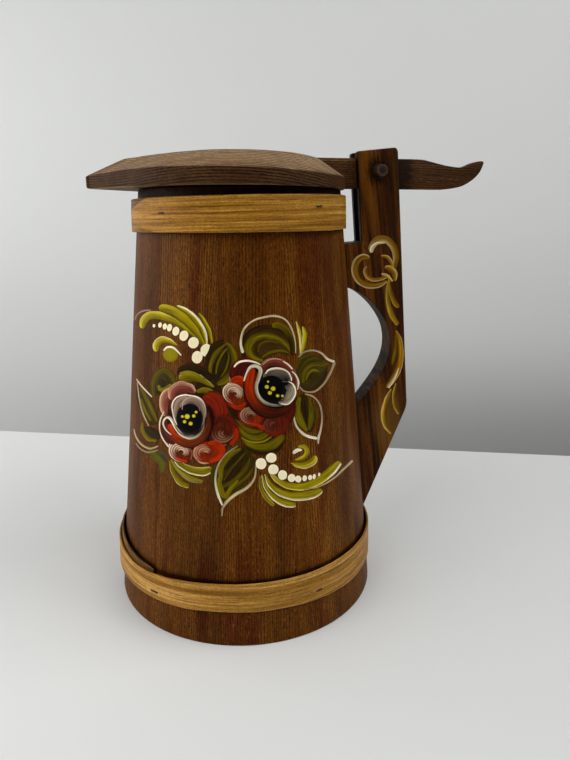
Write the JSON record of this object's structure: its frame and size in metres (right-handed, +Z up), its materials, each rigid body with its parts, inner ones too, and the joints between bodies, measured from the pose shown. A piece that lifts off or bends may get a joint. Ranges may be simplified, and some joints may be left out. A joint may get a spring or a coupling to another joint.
{
  "type": "wooden jug",
  "caption": "Tapered coopered jug of upright staves bound by split-wood hoops, with a plank handle on one stave and a pear-shaped bevelled lid whose lever turns on a peg in the handle's fork.",
  "frame": {"origin": "centre of the bounding box's bottom, on the plane the foot stands on; the barrel's axis is at x = -27.85 mm", "axes": "+Z up along the barrel's axis, +X towards the handle and the lever's end, +Y across the handle's thickness"},
  "size_m": [0.2045, 0.143, 0.2351],
  "materials": {
    "barrel_wood": "dark stain under satin varnish, fine upright grain",
    "handle_wood": "dark golden-brown stain under satin varnish",
    "bottom_wood": "unvarnished, sawn and planed",
    "lid_wood": "dark stain, worn dull on the bevel",
    "peg_wood": "whittled, dark and greasy",
    "willow": "honey-coloured split wood, satin varnish, dark fibres along it",
    "staple_wire": "darkened flat wire"
  },
  "bodies": {
    "vessel": {"wall_stave_01": "barrel_wood", "wall_stave_02": "barrel_wood", "wall_stave_03": "barrel_wood", "wall_stave_04": "barrel_wood", "wall_stave_05": "barrel_wood", "wall_stave_06": "barrel_wood", "wall_stave_07": "barrel_wood", "wall_stave_08": "barrel_wood", "wall_stave_09": "barrel_wood", "wall_stave_10": "barrel_wood", "wall_stave_11": "barrel_wood", "handle_stave": "handle_wood", "bottom_board": "bottom_wood", "upper_hoop": "willow", "lower_hoop": "willow", "upper_hoop_staple_left": "staple_wire", "upper_hoop_staple_right": "staple_wire", "lower_hoop_staple_left": "staple_wire", "lower_hoop_staple_right": "staple_wire", "hinge_peg": "peg_wood"},
    "lid": {"lid": "lid_wood"}
  },
  "joints": [
    {"name": "lid_hinge", "type": "hinge", "parent": "vessel", "child": "lid", "pos_m": [0.04265, 0, 0.2236], "axis": [0, 1, 0], "range_deg": [0, 54]}
  ]
}
